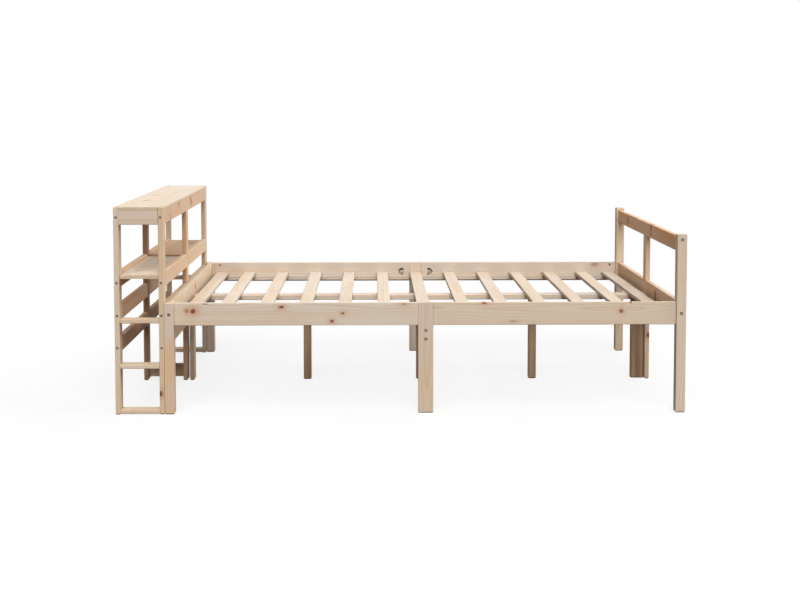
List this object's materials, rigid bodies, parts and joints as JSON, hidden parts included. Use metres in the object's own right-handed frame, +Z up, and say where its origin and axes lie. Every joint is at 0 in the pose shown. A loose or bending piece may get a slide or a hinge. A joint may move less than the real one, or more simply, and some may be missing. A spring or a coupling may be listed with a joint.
{
  "type": "double bed",
  "caption": "Low double bed in untreated pine with a slatted base, an open bookcase headboard with shelf and ladder-like ends, and an open footboard.",
  "frame": {"origin": "on the floor, under the middle of the whole bed's bounding box", "axes": "+X along the bed from the bookcase headboard to the footboard, +Y across the bed from the pictured side to the far side, +Z up"},
  "size_m": [2.257, 1.47, 0.822],
  "materials": {
    "pine_panel": "planed and sanded, untreated",
    "pine_case": "planed and sanded, untreated",
    "pine_frame": "planed and sanded, untreated",
    "pine_slat": "planed and sanded, untreated",
    "pine_support": "planed and sanded, untreated",
    "steel": "zinc-plated, dull"
  },
  "bodies": {
    "root": {"top_panel": "pine_panel", "shelf_near": "pine_panel", "shelf_far": "pine_panel", "post_wall_near": "pine_case", "post_wall_middle": "pine_case", "post_wall_far": "pine_case", "post_bed_near": "pine_case", "post_bed_middle": "pine_case", "post_bed_far": "pine_case", "end_boards": "pine_case", "rungs_near": "pine_case", "rungs_far": "pine_case", "floor_board": "pine_case", "top_rail_wall": "pine_case", "top_rail_bed": "pine_case", "shelf_rails_wall": "pine_case", "shelf_rails_bed": "pine_case", "mid_rails_wall": "pine_case", "mid_rails_bed": "pine_case", "low_rails_wall": "pine_case", "low_rails_bed": "pine_case", "head_leg_near": "pine_frame", "head_leg_far": "pine_frame", "head_rail": "pine_frame", "foot_post_near": "pine_frame", "foot_post_far": "pine_frame", "foot_top_rail": "pine_frame", "foot_low_rail": "pine_frame", "foot_upright": "pine_frame", "side_rail_near_head": "pine_frame", "side_rail_near_foot": "pine_frame", "side_rail_far_head": "pine_frame", "side_rail_far_foot": "pine_frame", "middle_leg_near": "pine_frame", "middle_leg_far": "pine_frame", "head_centre_leg": "pine_support", "foot_centre_leg": "pine_support", "foot_beam_leg": "pine_support", "cross_beam": "pine_support", "ledgers_near": "pine_support", "ledgers_far": "pine_support", "centre_beam_head": "pine_support", "centre_beam_foot": "pine_support", "beam_legs": "pine_support", "slat_01": "pine_slat", "slat_02": "pine_slat", "slat_03": "pine_slat", "slat_04": "pine_slat", "slat_05": "pine_slat", "slat_06": "pine_slat", "slat_07": "pine_slat", "slat_08": "pine_slat", "slat_09": "pine_slat", "slat_10": "pine_slat", "slat_11": "pine_slat", "slat_12": "pine_slat", "slat_13": "pine_slat", "bookcase_bolts": "steel", "bed_bolts": "steel", "half_moon_fittings": "steel"}
  },
  "joints": []
}
